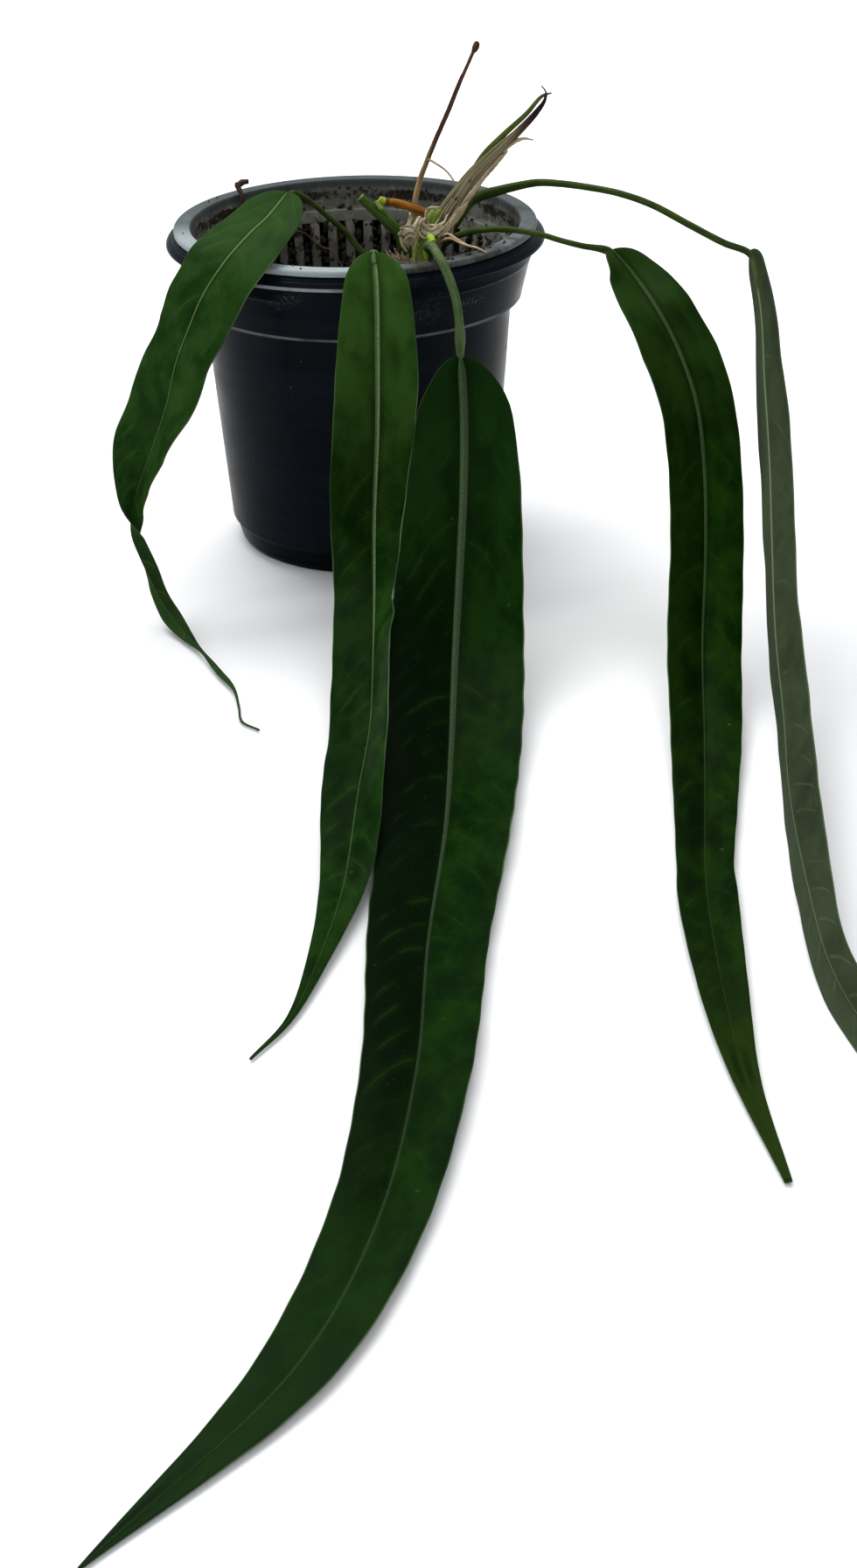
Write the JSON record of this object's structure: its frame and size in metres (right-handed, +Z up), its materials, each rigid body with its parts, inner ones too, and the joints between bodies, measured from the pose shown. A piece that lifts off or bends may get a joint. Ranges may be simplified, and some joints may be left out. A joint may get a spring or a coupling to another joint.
{
  "type": "potted strap-leaved anthurium",
  "caption": "Potted anthurium whose long strap leaves arch over the rim of a nested nursery pot and lie on the surface in front of it.",
  "frame": {"origin": "centre of the pot's underside, on the surface that the pot stands on", "axes": "+Z up along the pot's axis; the pictured front, where the leaves lie, faces -Y; +X is the picture's right"},
  "size_m": [0.3071, 0.7353, 0.2195],
  "materials": {
    "black_plastic": "glossy black moulded plastic",
    "grey_plastic": "dusty grey moulded plastic",
    "mix": "dark damp potting mix",
    "leaf_green": "thick satin dark green leaf",
    "stem_green": "fresh green stem",
    "straw": "dry papery plant matter",
    "shoot": "orange-brown dying stub",
    "bark": "rough brown bark"
  },
  "bodies": {
    "root": {"outer_pot": "black_plastic", "liner_pot": "grey_plastic", "potting_mix": "mix", "crown": "stem_green", "leaf_1": "leaf_green", "leaf_2": "leaf_green", "leaf_3": "leaf_green", "leaf_4": "leaf_green", "leaf_5": "leaf_green", "new_leaf": "stem_green", "dry_sheath": "straw", "flower_stalk": "straw", "side_shoot": "shoot", "dry_root": "straw", "thin_root": "straw", "fibre_tuft": "straw", "bark_chunk": "bark", "rim_twig": "bark"}
  },
  "joints": []
}
